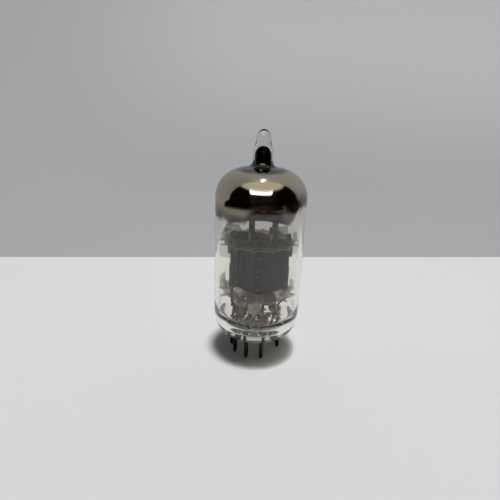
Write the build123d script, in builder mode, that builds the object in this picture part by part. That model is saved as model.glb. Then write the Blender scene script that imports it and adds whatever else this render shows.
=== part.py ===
from build123d import *
from math import cos, radians, sin
import os

# Nine-pin all-glass miniature double triode with an internal screen and a top getter.
# Millimetres. The origin is the centre of the pin circle at the pin tips, +Z up the bulb,
# and -Y is the side that the staked flange of the screen faces.

# Base: nine pins on ten places, the empty place at -36 degrees
pin_circle_radius = 5.945
pin_radius = 0.508
pin_seal_radius = 0.34
pin_tip_radius = 0.28
pin_taper = 0.8
pin_count = 9
pin_pitch = 36.0
pin_wall_top = 5.55
pin_top = 9.2

# Glass
bulb_radius = 10.6
wall = 0.9
button_radius = 7.9
button_bottom = 6.0
button_top = 7.9
bead_radius = 1.15
bead_neck = 0.6
bead_height = 0.9
lower_bead_radius = 0.95
lower_bead_neck = 0.62
lower_bead_height = 0.35
barrel_bottom = 12.2
hollow_bottom = 13.4
heel_outside = (10.15, 8.7)
heel_inside = (9.1, 9.9)
barrel_top = 40.3
crown_radius = 3.7
crown_height = 46.5
neck_radius = 2.25
neck_bottom = 48.0
neck_top = 50.2
bore_radius = 1.25
bore_shoulder = 48.9
bore_top = 50.9
tip_radius = 1.67
tip_bottom = 52.3
overall_height = 54.7
bore_radius_inside = bulb_radius - wall
film_thickness = 0.05
film_bottom = 31.4
dome_rim = 3.2
dome_height = 45.6
dome_bend = 47.6

# Mica spacers
mica_thickness = 0.25
mica_radius = 8.45
mica_tooth_radius = 9.6
mica_tooth_root = 8.15
mica_tooth_width = 0.75
mica_tooth_tip = 0.12
mica_tooth_count = 14
mica_tooth_turn = 8.0
lower_mica = 16.7
upper_mica = 29.3
fit = 0.03

# Electrode cage: its centre, and one section on each side of the screen
cage_x = 0.3
cage_y = 0.9
cage_bottom = lower_mica + mica_thickness
cage_top = upper_mica
deck = upper_mica + mica_thickness
section_offset = 2.45
sheet = 0.2
anode_outline = [(0.95, -4.6), (2.6, -3.8), (5.0, -2.0), (7.1, 0.0)]
recessed_outline = [
    (0.95, -4.6),
    (2.6, -3.8),
    (3.4, -3.2),
    (3.5, -2.65),
    (5.2, -1.3),
    (5.35, -1.667),
    (7.1, 0.0),
]
beyond = 40.0
flange_reach = 7.5
flange_reach_top = 8.0
flange_reach_middle = 7.3
flange_step_low = 22.6
flange_step_high = 25.3
tab_inner = 6.1
tab_outer = 7.5
tab_height = 1.1
foot_depth = 0.9
foot_overlap = 0.3
slot_width = 0.5
slot_bottom = 21.6
slot_top = 24.9
slot_near = 4.0
slot_far = 5.6
slot_y = 3.5
slot_cut = 5.0

screen_half_depth = 4.75
screen_flange = 1.0
screen_flange_shift = 0.05
screen_tab_offset = 3.2
screen_tab_width = 1.2
screen_tab_height = 1.0
screen_foot_depth = 0.8
screen_tab_rise = 0.9
stake_radius = 0.38
stake_tip_radius = 0.23
stake_depth = 0.2
stake_heights = [18.3, 21.6, 23.0, 26.1]

cathode_radius = 0.75
cathode_wall = 0.08
cathode_bottom = 15.9
cathode_top = 30.3
heater_radius = 0.16
heater_half_gap = 0.3
heater_bottom = 14.6

grid_rod_radius = 0.4
grid_rod_offset = 2.85
grid_rod_bottom = 15.2
grid_rod_top = 31.6
grid_wire = 0.08
grid_pitch = 0.5
grid_half_width = 1.05
grid_shoulder = 3.0
grid_shoulder_width = 0.5
grid_end = 3.31
grid_margin = 0.6
rod_edge = 0.15

# Getter
getter_x = 0.9
getter_y = 1.0
getter_bottom = 36.7
getter_radius = 4.3
getter_channel = 1.4
getter_depth = 0.8
getter_edge = 0.3
residue_depth = 0.3
strap_width = 1.5
strap_depth = 0.6
strap_foot = 0.9
strap_sheet = 0.15
strap_offset = 2.9
strap_y = 3.0

# Strip on the upper mica and plate under the lower one
strip_left = -5.9
strip_right = 0.6
strip_y = -0.7
strip_height = 1.9
strip_foot_width = 2.0
strip_foot_depth = 0.7
shield_x = -0.3
shield_width = 3.1
shield_y = -5.0
shield_bottom = 12.0
shield_top = 15.0
shield_corner = 0.9
shield_hanger = 0.8

# Wires under the lower mica
lead_radius = 0.22
lead_bend = 0.7
lead_rise = 11.0
weld_gap = 0.01
touch = cathode_radius + lead_radius + weld_gap
weld_height = 16.5
anode_foot_bottom = cage_bottom - foot_depth
screen_foot_bottom = cage_bottom - screen_foot_depth
heater_clearance = 0.4
heater_bend_gap = 0.02
heater_link_bottom = 13.5
heater_link_bend = 0.5

os.makedirs("parts", exist_ok=True)


def pin_place(number, height=0.0):
    """The point on a pin's axis at a height."""
    angle = radians(pin_pitch * (number - 1))
    return (pin_circle_radius * cos(angle), pin_circle_radius * sin(angle), height)


def draw_cavity(gap, bottom):
    """The inside of the bulb, drawn from the barrel up to the end of the bore, moved inwards by gap."""
    side = bore_radius_inside - gap
    neck = bore_radius - gap
    rim = (dome_rim, dome_height - gap)
    Line((side, bottom), (side, barrel_top))
    Spline(
        (side, barrel_top),
        (8.3 - 0.75 * gap, 43.3 - 0.65 * gap),
        (6.3 - 0.45 * gap, 44.75 - 0.9 * gap),
        rim,
        tangents=((0, 1), (-1, 0.12)),
    )
    Spline(rim, (neck, dome_bend), tangents=((-1, 0.12), (0, 1)))
    Line((neck, dome_bend), (neck, bore_shoulder))
    Spline((neck, bore_shoulder), (0, bore_top - gap), tangents=((0, 1), (-1, 0)))


# ---------------------------------------------------------------- glass


def make_bulb():
    """The blown bulb with its shoulder, neck and sealed exhaust tip, as one piece of glass."""
    tip_centre = overall_height - tip_radius
    tip_middle = tip_radius * cos(radians(45))
    with BuildPart() as bulb:
        with BuildSketch(Plane.XZ):
            with BuildLine():
                ThreePointArc(
                    (0, overall_height),
                    (tip_middle, tip_centre + tip_middle),
                    (tip_radius, tip_centre),
                )
                Line((tip_radius, tip_centre), (tip_radius, tip_bottom))
                Spline(
                    (tip_radius, tip_bottom),
                    (neck_radius - 0.05, neck_top),
                    tangents=((0, -1), (0.05, -1)),
                )
                Line((neck_radius - 0.05, neck_top), (neck_radius, neck_bottom))
                Spline(
                    (neck_radius, neck_bottom),
                    (crown_radius, crown_height),
                    tangents=((0, -1), (1, -0.12)),
                )
                Spline(
                    (crown_radius, crown_height),
                    (6.65, 45.6),
                    (9.0, 43.9),
                    (bulb_radius, barrel_top),
                    tangents=((1, -0.12), (0, -1)),
                )
                Line((bulb_radius, barrel_top), (bulb_radius, barrel_bottom))
                Spline(
                    (bulb_radius, barrel_bottom),
                    heel_outside,
                    (button_radius, button_bottom),
                    tangents=((0, -1), (-1, -0.2)),
                )
                Line((button_radius, button_bottom), (button_radius, button_top))
                Spline(
                    (button_radius, button_top),
                    heel_inside,
                    (bore_radius_inside, hollow_bottom),
                    tangents=((1, 0.6), (0, 1)),
                )
                draw_cavity(0.0, hollow_bottom)
                Line((0, bore_top), (0, overall_height))
            make_face()
        revolve(axis=Axis.Z)
    bulb.part.label = "bulb"
    export_step(bulb.part, "parts/bulb.step")


def make_button():
    """The pressed glass button that the pins are sealed into, with a bead round each pin."""
    with BuildPart() as button:
        with BuildSketch(Plane.XY.offset(button_bottom)):
            Circle(button_radius)
        extrude(amount=button_top - button_bottom)
        for number in range(1, pin_count + 1):
            with Locations(pin_place(number, button_top)):
                Cone(bead_radius, bead_neck, bead_height, align=(Align.CENTER, Align.CENTER, Align.MIN))
            with Locations(pin_place(number, button_bottom)):
                Cone(
                    lower_bead_neck,
                    lower_bead_radius,
                    lower_bead_height,
                    align=(Align.CENTER, Align.CENTER, Align.MAX),
                )
        for number in range(1, pin_count + 1):
            with Locations(pin_place(number, button_bottom - bead_height)):
                Cylinder(
                    pin_seal_radius,
                    button_top - button_bottom + 3 * bead_height,
                    align=(Align.CENTER, Align.CENTER, Align.MIN),
                    mode=Mode.SUBTRACT,
                )
    button.part.label = "stem_button"
    export_step(button.part, "parts/stem_button.step")


def make_pin(number):
    """One base pin with its tapered tip and the thinner stretch that is sealed in the glass."""
    x, y, _ = pin_place(number)
    with BuildPart() as pin:
        with BuildSketch(Plane(origin=(x, y, 0), x_dir=(1, 0, 0), z_dir=(0, -1, 0))):
            with BuildLine():
                Polyline(
                    (0, 0),
                    (pin_tip_radius, 0),
                    (pin_radius, pin_taper),
                    (pin_radius, pin_wall_top),
                    (pin_seal_radius, pin_wall_top),
                    (pin_seal_radius, pin_top),
                    (0, pin_top),
                    close=True,
                )
            make_face()
        revolve(axis=Axis((x, y, 0), (0, 0, 1)))
    pin.part.label = f"pin_{number}"
    export_step(pin.part, f"parts/pin_{number}.step")


def make_getter_film():
    """The film of getter metal on the inside of the dome and the bore."""
    side = bore_radius_inside - film_thickness
    with BuildPart() as film:
        with BuildSketch(Plane.XZ):
            with BuildLine():
                draw_cavity(0.0, film_bottom)
                draw_cavity(film_thickness, film_bottom)
                Line((0, bore_top), (0, bore_top - film_thickness))
                Line((side, film_bottom), (bore_radius_inside, film_bottom))
            make_face()
        revolve(axis=Axis.Z)
    film.part.label = "getter_film"
    export_step(film.part, "parts/getter_film.step")


# ---------------------------------------------------------------- getter


def make_getter_ring():
    """The ring channel that held the getter metal, open upwards."""
    inner = getter_radius - getter_channel
    with BuildPart() as ring:
        with Locations((getter_x, getter_y, getter_bottom)):
            Cylinder(getter_radius, getter_depth, align=(Align.CENTER, Align.CENTER, Align.MIN))
            Cylinder(
                inner,
                getter_depth,
                align=(Align.CENTER, Align.CENTER, Align.MIN),
                mode=Mode.SUBTRACT,
            )
        with BuildSketch(Plane.XY.offset(getter_bottom + sheet)):
            with Locations((getter_x, getter_y)):
                Circle(getter_radius - sheet)
                Circle(inner + sheet, mode=Mode.SUBTRACT)
        extrude(amount=getter_depth, mode=Mode.SUBTRACT)
        fillet(ring.edges().filter_by(GeomType.CIRCLE).group_by(Axis.Z)[0], radius=getter_edge)
    ring.part.label = "getter_ring"
    export_step(ring.part, "parts/getter_ring.step")


def make_getter_residue():
    """The spent getter charge that is left in the channel."""
    inner = getter_radius - getter_channel
    with BuildPart() as residue:
        with BuildSketch(Plane.XY.offset(getter_bottom + sheet)):
            with Locations((getter_x, getter_y)):
                Circle(getter_radius - sheet)
                Circle(inner + sheet, mode=Mode.SUBTRACT)
        extrude(amount=residue_depth)
    residue.part.label = "getter_residue"
    export_step(residue.part, "parts/getter_residue.step")


def make_getter_strap(side, label):
    """One folded strap from the upper mica to the underside of the getter ring."""
    x = getter_x + side * strap_offset
    height = getter_bottom - deck
    with BuildPart() as strap:
        with BuildSketch(Plane.XY.offset(deck)):
            with Locations((x, strap_y)):
                Rectangle(strap_width, strap_depth)
            with Locations((x, strap_y + strap_sheet)):
                Rectangle(strap_width - 2 * strap_sheet, strap_depth, mode=Mode.SUBTRACT)
        extrude(amount=height)
        with BuildSketch(Plane.XY.offset(deck)):
            with Locations((x, strap_y - (strap_depth + strap_foot) / 2 + strap_sheet)):
                Rectangle(strap_width, strap_foot)
        extrude(amount=strap_sheet)
    strap.part.label = label
    export_step(strap.part, f"parts/{label}.step")


# ---------------------------------------------------------------- mica


def make_mica(label, bottom):
    """A mica spacer: toothed edge, holes for both sections, a screen slot, anode tab slots."""
    with BuildPart() as mica:
        with BuildSketch(Plane.XY.offset(bottom)):
            Circle(mica_radius)
            with PolarLocations(0, mica_tooth_count, start_angle=mica_tooth_turn):
                Polygon(
                    (mica_tooth_root, -mica_tooth_width),
                    (mica_tooth_radius, -mica_tooth_tip),
                    (mica_tooth_radius, mica_tooth_tip),
                    (mica_tooth_root, mica_tooth_width),
                    align=None,
                )
            for side in (-1, 1):
                centre = cage_x + side * section_offset
                with Locations((centre, cage_y)):
                    Circle(cathode_radius + fit, mode=Mode.SUBTRACT)
                with Locations(
                    (centre, cage_y - grid_rod_offset),
                    (centre, cage_y + grid_rod_offset),
                ):
                    Circle(grid_rod_radius + fit, mode=Mode.SUBTRACT)
                with Locations((cage_x + side * (tab_inner + tab_outer) / 2, cage_y)):
                    Rectangle(tab_outer - tab_inner + 2 * fit, 2 * sheet + 2 * fit, mode=Mode.SUBTRACT)
            for end in (-1, 1):
                with Locations((cage_x, cage_y + end * screen_tab_offset)):
                    Rectangle(sheet + 2 * fit, screen_tab_width + 2 * fit, mode=Mode.SUBTRACT)
        extrude(amount=mica_thickness)
    mica.part.label = label
    export_step(mica.part, f"parts/{label}.step")


# ---------------------------------------------------------------- anodes and screen


def anode_points(side, outline):
    """An anode's outline from above, for the section on the given side."""
    front = [(x * side + cage_x, y + cage_y) for x, y in outline]
    back = [(x * side + cage_x, cage_y - y) for x, y in reversed(outline[:-1])]
    return front + back


def make_anode_half(side, half, label):
    """One pressed half of an anode box, front (-1) or back (1), with its flange, window and tabs.

    Where side and half agree the half has a pressed recess with the window in it, and where
    they don't it is plain, so the two anodes are the same part turned half round.
    """
    recessed = side == half
    outline = recessed_outline if recessed else anode_outline
    slot_at = slot_near if recessed else slot_far
    middle_y = cage_y + half * sheet / 2
    tab_x = cage_x + side * (tab_inner + tab_outer) / 2
    tab_width = tab_outer - tab_inner
    with BuildPart() as anode:
        with BuildSketch(Plane.XY.offset(cage_bottom)):
            Polygon(*anode_points(side, outline), align=None)
            offset(amount=-sheet, kind=Kind.INTERSECTION, mode=Mode.SUBTRACT)
            with Locations((cage_x, cage_y - half * beyond / 2)):
                Rectangle(beyond, beyond, mode=Mode.SUBTRACT)
        extrude(amount=cage_top - cage_bottom)
        start = outline[-1][0] - 3 * sheet
        for bottom, top, reach in (
            (cage_bottom, flange_step_low, flange_reach),
            (flange_step_low, flange_step_high, flange_reach_middle),
            (flange_step_high, cage_top, flange_reach_top),
        ):
            with Locations((cage_x + side * (start + reach) / 2, middle_y, (bottom + top) / 2)):
                Box(reach - start, sheet, top - bottom)
        with BuildSketch(Plane.XZ.offset(-middle_y)):
            with Locations((tab_x, cage_top)):
                SlotCenterToCenter(2 * tab_height, tab_width, rotation=90)
            with Locations((tab_x, cage_bottom + (foot_overlap - foot_depth) / 2)):
                Rectangle(tab_width, foot_depth + foot_overlap)
        extrude(amount=sheet / 2, both=True)
        with Locations((cage_x + side * slot_at, cage_y + half * slot_y, (slot_bottom + slot_top) / 2)):
            Box(slot_width, slot_cut, slot_top - slot_bottom, mode=Mode.SUBTRACT)
    anode.part.label = label
    export_step(anode.part, f"parts/{label}.step")


def make_screen():
    """The screen plate between the sections, with flanges front and back and a staked front."""
    face_y = cage_y - screen_half_depth - sheet
    flange_x = cage_x + screen_flange_shift
    with BuildPart() as screen:
        with BuildSketch(Plane.XY.offset(cage_bottom)):
            with Locations((cage_x, cage_y)):
                Rectangle(sheet, 2 * screen_half_depth)
            for end in (-1, 1):
                with Locations((flange_x, cage_y + end * (screen_half_depth + sheet / 2))):
                    Rectangle(2 * screen_flange, sheet)
        extrude(amount=cage_top - cage_bottom)
        foot_level = cage_bottom - screen_foot_depth + screen_tab_height / 2
        tab_level = cage_top + screen_tab_rise - screen_tab_height / 2
        for end in (-1, 1):
            for level in (foot_level, tab_level):
                with Locations((cage_x, cage_y + end * screen_tab_offset, level)):
                    Box(sheet, screen_tab_width, screen_tab_height)
        for level in stake_heights:
            with Locations(Plane(origin=(cage_x, face_y, level), z_dir=(0, -1, 0))):
                Cone(
                    stake_radius,
                    stake_tip_radius,
                    stake_depth,
                    align=(Align.CENTER, Align.CENTER, Align.MIN),
                )
    screen.part.label = "screen_plate"
    export_step(screen.part, "parts/screen_plate.step")


def make_deck_strip():
    """The dark strip that stands on the upper mica in front of the cathodes."""
    with BuildPart() as strip:
        with BuildSketch(Plane.XY.offset(deck)):
            with Locations(((strip_left + strip_right) / 2, strip_y)):
                Rectangle(strip_right - strip_left, strap_sheet)
        extrude(amount=strip_height)
        with BuildSketch(Plane.XY.offset(deck)):
            with Locations(((strip_left + strip_right) / 2, strip_y - strip_foot_depth / 2)):
                Rectangle(strip_foot_width, strip_foot_depth)
        extrude(amount=strap_sheet)
    strip.part.label = "deck_strip"
    export_step(strip.part, "parts/deck_strip.step")


def make_lower_shield():
    """The round-cornered plate that hangs from the lower mica over the front pins."""
    with BuildPart() as shield:
        with Locations((shield_x, shield_y, (shield_bottom + shield_top) / 2)):
            Box(shield_width, strap_sheet, shield_top - shield_bottom)
        fillet(shield.edges().filter_by(Axis.Y), radius=shield_corner)
        with Locations((shield_x, shield_y, (shield_top + lower_mica) / 2)):
            Box(shield_hanger, strap_sheet, lower_mica - shield_top)
    shield.part.label = "lower_shield"
    export_step(shield.part, "parts/lower_shield.step")


# ---------------------------------------------------------------- cathodes, heaters, grids


def make_cathode(side, label):
    """A cathode sleeve: a thin tube that reaches through both micas."""
    with BuildPart() as sleeve:
        with Locations((cage_x + side * section_offset, cage_y, cathode_bottom)):
            Cylinder(
                cathode_radius,
                cathode_top - cathode_bottom,
                align=(Align.CENTER, Align.CENTER, Align.MIN),
            )
            Cylinder(
                cathode_radius - cathode_wall,
                cathode_top - cathode_bottom,
                align=(Align.CENTER, Align.CENTER, Align.MIN),
                mode=Mode.SUBTRACT,
            )
    sleeve.part.label = label
    export_step(sleeve.part, f"parts/{label}.step")


def make_wire(label, points, radius=lead_radius, bend=lead_bend):
    """A round wire bent along a few points."""
    with BuildPart() as wire:
        with BuildLine() as path:
            FilletPolyline(*points, radius=bend)
        with BuildSketch(Plane(origin=path.line @ 0, z_dir=path.line % 0)):
            Circle(radius)
        sweep()
    wire.part.label = label
    export_step(wire.part, f"parts/{label}.step")


def make_heater(side, label):
    """A coated heater hairpin inside a cathode sleeve."""
    x = cage_x + side * section_offset
    top = cathode_top - heater_clearance
    points = [
        (x - heater_half_gap, cage_y, heater_bottom),
        (x - heater_half_gap, cage_y, top),
        (x + heater_half_gap, cage_y, top),
        (x + heater_half_gap, cage_y, heater_bottom),
    ]
    make_wire(label, points, heater_radius, heater_half_gap - heater_bend_gap)


def make_grid_rod(side, half, label):
    """One side rod of a grid."""
    with BuildPart() as rod:
        x = cage_x + side * section_offset
        with Locations((x, cage_y + half * grid_rod_offset, grid_rod_bottom)):
            Cylinder(
                grid_rod_radius,
                grid_rod_top - grid_rod_bottom,
                align=(Align.CENTER, Align.CENTER, Align.MIN),
            )
        fillet(rod.edges().group_by(Axis.Z)[-1], radius=rod_edge)
    rod.part.label = label
    export_step(rod.part, f"parts/{label}.step")


def draw_turn(x, growth):
    """One turn of a grid from above: two bowed sides and two ends round the rods."""
    shoulder = grid_shoulder
    end = grid_end + growth
    bow = grid_half_width + growth
    half = grid_shoulder_width + growth
    ThreePointArc((x - half, cage_y - shoulder), (x - bow, cage_y), (x - half, cage_y + shoulder))
    ThreePointArc((x - half, cage_y + shoulder), (x, cage_y + end), (x + half, cage_y + shoulder))
    ThreePointArc((x + half, cage_y + shoulder), (x + bow, cage_y), (x + half, cage_y - shoulder))
    ThreePointArc((x + half, cage_y - shoulder), (x, cage_y - end), (x - half, cage_y - shoulder))


def make_grid_winding(side, label):
    """The winding of a grid as separate turns round its two rods."""
    x = cage_x + side * section_offset
    turns = int((cage_top - cage_bottom - 2 * grid_margin) / grid_pitch)
    with BuildPart() as winding:
        for turn in range(turns):
            with BuildSketch(Plane.XY.offset(cage_bottom + grid_margin + turn * grid_pitch)):
                with BuildLine():
                    draw_turn(x, grid_wire)
                make_face()
                with BuildLine():
                    draw_turn(x, 0.0)
                make_face(mode=Mode.SUBTRACT)
            extrude(amount=grid_wire)
    winding.part.label = label
    export_step(winding.part, f"parts/{label}.step")


# ---------------------------------------------------------------- leads


def route(number, foot, knee, rise=lead_rise):
    """A lead's points: up from its pin, across to its electrode, and up to the electrode's foot."""
    x, y, top = foot
    return [pin_place(number, pin_top), pin_place(number, rise), (x, y, knee), (x, y, top)]


def beside(x, turn):
    """The end of a lead welded to the side of the cathode at x, on the bearing turn."""
    return (x + touch * cos(radians(turn)), cage_y + touch * sin(radians(turn)), weld_height)


def make_leads():
    """Every lead between the pins and the electrodes, and the link between the heaters."""
    left = cage_x - section_offset
    right = cage_x + section_offset
    anode_foot = (tab_inner + tab_outer) / 2
    anode_foot_left = (cage_x - anode_foot, cage_y, anode_foot_bottom)
    anode_foot_right = (cage_x + anode_foot, cage_y, anode_foot_bottom)
    heater_foot_left = (left - heater_half_gap, cage_y, heater_bottom)
    heater_foot_right = (right + heater_half_gap, cage_y, heater_bottom)
    rod_foot_left = (left, cage_y - grid_rod_offset, grid_rod_bottom)
    rod_foot_right = (right, cage_y + grid_rod_offset, grid_rod_bottom)
    screen_foot = (cage_x, cage_y - screen_tab_offset)
    make_wire("lead_anode_right", route(1, anode_foot_right, 14.0))
    make_wire("lead_grid_right", route(2, rod_foot_right, 13.2))
    make_wire("lead_cathode_right", route(3, beside(right, 120), 14.0))
    make_wire("lead_heater_right", route(4, heater_foot_right, 12.0, 10.6))
    make_wire("lead_heater_left", route(5, heater_foot_left, 12.8))
    make_wire("lead_anode_left", route(6, anode_foot_left, 13.5))
    make_wire("lead_grid_left", route(7, rod_foot_left, 13.2))
    make_wire("lead_cathode_left", route(8, beside(left, -60), 13.0))
    screen_route = [
        pin_place(9, pin_top),
        pin_place(9, 10.4),
        (1.7, screen_foot[1], 14.0),
        (*screen_foot, 15.2),
        (*screen_foot, screen_foot_bottom),
    ]
    make_wire("lead_screen", screen_route, bend=0.4)
    heater_link = [
        (left + heater_half_gap, cage_y, heater_bottom),
        (left + heater_half_gap, cage_y, heater_link_bottom),
        (right - heater_half_gap, cage_y, heater_link_bottom),
        (right - heater_half_gap, cage_y, heater_bottom),
    ]
    make_wire("heater_link", heater_link, heater_radius, heater_link_bend)


make_bulb()
make_button()
for number in range(1, pin_count + 1):
    make_pin(number)
make_getter_film()
make_getter_ring()
make_getter_residue()
for side, name in ((-1, "left"), (1, "right")):
    make_getter_strap(side, f"getter_strap_{name}")
make_mica("mica_lower", lower_mica)
make_mica("mica_upper", upper_mica)
for side, name in ((-1, "left"), (1, "right")):
    for half, end in ((-1, "front"), (1, "back")):
        make_anode_half(side, half, f"anode_{name}_{end}")
        make_grid_rod(side, half, f"grid_rod_{name}_{end}")
    make_cathode(side, f"cathode_{name}")
    make_heater(side, f"heater_{name}")
    make_grid_winding(side, f"grid_winding_{name}")
make_screen()
make_deck_strip()
make_lower_shield()
make_leads()
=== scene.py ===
"""A sealed glass vacuum tube with nine pins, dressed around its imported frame.

All lengths are in metres. Sizes of the glass are given in millimetres times MM.
"""

import logging
import math
import random
from contextlib import contextmanager
from dataclasses import dataclass, field, replace
from enum import Enum
from functools import lru_cache
from typing import Iterator, Sequence

import bmesh
import bpy
from mathutils import Matrix, Vector


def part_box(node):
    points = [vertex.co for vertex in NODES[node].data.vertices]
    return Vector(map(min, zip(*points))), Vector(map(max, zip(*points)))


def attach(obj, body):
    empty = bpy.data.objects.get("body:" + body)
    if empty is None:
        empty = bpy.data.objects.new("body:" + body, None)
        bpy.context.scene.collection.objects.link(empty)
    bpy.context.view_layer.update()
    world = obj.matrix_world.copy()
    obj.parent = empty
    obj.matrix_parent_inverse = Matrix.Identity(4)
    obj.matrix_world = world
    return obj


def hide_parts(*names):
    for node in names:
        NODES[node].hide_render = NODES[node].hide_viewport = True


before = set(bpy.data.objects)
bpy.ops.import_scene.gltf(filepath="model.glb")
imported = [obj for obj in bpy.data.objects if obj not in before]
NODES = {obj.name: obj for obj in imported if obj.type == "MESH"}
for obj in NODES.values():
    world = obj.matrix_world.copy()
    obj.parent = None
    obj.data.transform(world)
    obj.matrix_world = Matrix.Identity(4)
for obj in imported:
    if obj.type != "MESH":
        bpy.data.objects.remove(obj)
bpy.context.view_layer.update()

MM = 0.001
BODY = "root"
Colour = tuple[float, float, float, float]
Point = tuple[float, float, float]
Pair = tuple[float, float]
BLACK: Colour = (0.0, 0.0, 0.0, 1.0)
log = logging.getLogger("vacuum_tube")


def tone(red: int, green: int, blue: int) -> Colour:
    """Gives the linear colour of a screen colour.

    Args:
        red: Red, from 0 to 255.
        green: Green, from 0 to 255.
        blue: Blue, from 0 to 255.

    Returns:
        The colour with an alpha of 1.
    """
    knee, slope, offset, power = 0.04045, 12.92, 0.055, 2.4
    parts = []
    for part in (red, green, blue):
        share = part / 255
        low = share / slope
        high = ((share + offset) / (1 + offset)) ** power
        parts.append(low if share <= knee else high)
    return (parts[0], parts[1], parts[2], 1.0)


# --------------------------------------------------------------------------- shader graphs


class Value:
    """A shader socket that adds the Math nodes of the expression it stands in."""

    def __init__(self, graph: "Graph", socket: bpy.types.NodeSocket) -> None:
        """Keeps the socket and the graph it belongs to."""
        self.graph = graph
        self.socket = socket

    def _math(self, operation: str, first: object, second: object) -> "Value":
        """Adds one Math node."""
        return self.graph.node("ShaderNodeMath", {"operation": operation}, {0: first, 1: second})

    def __add__(self, other: object) -> "Value":
        """Sum."""
        return self._math("ADD", self, other)

    def __radd__(self, other: object) -> "Value":
        """Sum with a number on the left."""
        return self._math("ADD", other, self)

    def __sub__(self, other: object) -> "Value":
        """Difference."""
        return self._math("SUBTRACT", self, other)

    def __rsub__(self, other: object) -> "Value":
        """Difference from a number on the left."""
        return self._math("SUBTRACT", other, self)

    def __mul__(self, other: object) -> "Value":
        """Product."""
        return self._math("MULTIPLY", self, other)

    def step(self, low: float, high: float) -> "Value":
        """Rises smoothly from 0 at low to 1 at high."""
        return self.graph.node(
            "ShaderNodeMapRange",
            {"interpolation_type": "SMOOTHSTEP"},
            {"Value": self, "From Min": low, "From Max": high},
            "Result",
        )

    def band(self, low: float, high: float, soft: float) -> "Value":
        """Is 1 between low and high and 0 outside, with soft edges."""
        return self.step(low - soft, low + soft) * (1.0 - self.step(high - soft, high + soft))


class Graph:
    """The node tree of one material or of the world."""

    def __init__(self, tree: bpy.types.NodeTree) -> None:
        """Takes the tree over and empties it."""
        self.tree = tree
        tree.nodes.clear()

    def node(
        self,
        kind: str,
        settings: dict[str, object] | None = None,
        inputs: dict[object, object] | None = None,
        output: int | str = 0,
    ) -> Value:
        """Adds one node.

        Args:
            kind: The node's type.
            settings: Its properties.
            inputs: What its sockets hold, as numbers, colours or other values.
            output: The output socket to return.

        Returns:
            The chosen output. A node with no outputs gives an empty value.
        """
        made = self.tree.nodes.new(kind)
        for name, setting in (settings or {}).items():
            setattr(made, name, setting)
        for name, held in (inputs or {}).items():
            if isinstance(held, Value):
                self.tree.links.new(held.socket, made.inputs[name])
            else:
                made.inputs[name].default_value = held
        return Value(self, made.outputs[output] if len(made.outputs) else None)

    def mix(self, factor: object, first: object, second: object) -> Value:
        """Mixes two colours, on the Mix node's sockets for colours."""
        share, from_colour, to_colour, result = 0, 6, 7, 2
        inputs = {share: factor, from_colour: first, to_colour: second}
        return self.node("ShaderNodeMix", {"data_type": "RGBA"}, inputs, result)

    def place(self, scale: Point = (1.0, 1.0, 1.0), centre: Point = (0.0, 0.0, 0.0)) -> Value:
        """Gives the object's own coordinates, centred and stretched."""
        coordinates = self.node("ShaderNodeTexCoord", output="Object")
        shift = tuple(-c * s for c, s in zip(centre, scale))
        return self.node(
            "ShaderNodeMapping", {}, {"Vector": coordinates, "Location": shift, "Scale": scale}
        )

    def axes(self, vector: Value) -> tuple[Value, Value, Value]:
        """Splits a vector into its three parts."""
        first = self.node("ShaderNodeSeparateXYZ", {}, {0: vector})
        outputs = first.socket.node.outputs
        return first, Value(self, outputs[1]), Value(self, outputs[2])

    def noise(self, vector: Value, size: float, detail: float = 3.0, rough: float = 0.5) -> Value:
        """Cloudy noise whose patches are about that size, in metres."""
        inputs = {"Vector": vector, "Scale": 1 / size, "Detail": detail, "Roughness": rough}
        return self.node("ShaderNodeTexNoise", {}, inputs, "Fac")

    def bump(self, height: Value, depth: float, strength: float = 1.0) -> Value:
        """Turns a height into a normal."""
        inputs = {"Height": height, "Distance": depth, "Strength": strength}
        return self.node("ShaderNodeBump", {}, inputs, "Normal")

    def skin(self, **inputs: object) -> Value:
        """Adds a Principled shader, its socket names written with underscores."""
        named = {name.replace("_", " "): held for name, held in inputs.items()}
        return self.node("ShaderNodeBsdfPrincipled", {}, named, "BSDF")


# --------------------------------------------------------------------------- finishes


@dataclass(frozen=True)
class Finish:
    """One surface of the tube or of the room, with its material's name."""

    name: str

    def surface(self, graph: Graph) -> Value:
        """Builds its shader."""
        raise NotImplementedError

    def material(self) -> bpy.types.Material:
        """Builds its material."""
        material = bpy.data.materials.new(self.name)
        material.use_nodes = True
        graph = Graph(material.node_tree)
        graph.node("ShaderNodeOutputMaterial", {}, {"Surface": self.surface(graph)})
        return material


@dataclass(frozen=True)
class Metal(Finish):
    """A metal skin in two tones, with cloudy stains, streaks and fine grain."""

    bright: Colour
    stained: Colour
    rough: float = 0.35
    metallic: float = 1.0
    patch: float = 1.6 * MM
    grain: float = 0.12 * MM
    streak: float = 5.0
    relief: float = 0.02 * MM
    stain_from: float = 0.42
    stain_to: float = 0.62

    def surface(self, graph: Graph) -> Value:
        """Builds its shader."""
        place = graph.place()
        drawn = graph.place((1.0, 1.0, 1.0 / self.streak))
        stains = graph.noise(place, self.patch, 4.0, 0.6).step(self.stain_from, self.stain_to)
        lines = graph.noise(drawn, self.grain * 2, 2.0)
        grain = graph.noise(place, self.grain, 3.0)
        colour = graph.mix(stains * 0.85 + lines * 0.15, self.bright, self.stained)
        relief = grain * 0.6 + lines * 0.4
        return graph.skin(
            Base_Color=colour,
            Metallic=self.metallic,
            Roughness=self.rough + stains * 0.12 + grain * 0.08,
            Normal=graph.bump(relief, self.relief),
        )


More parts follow.
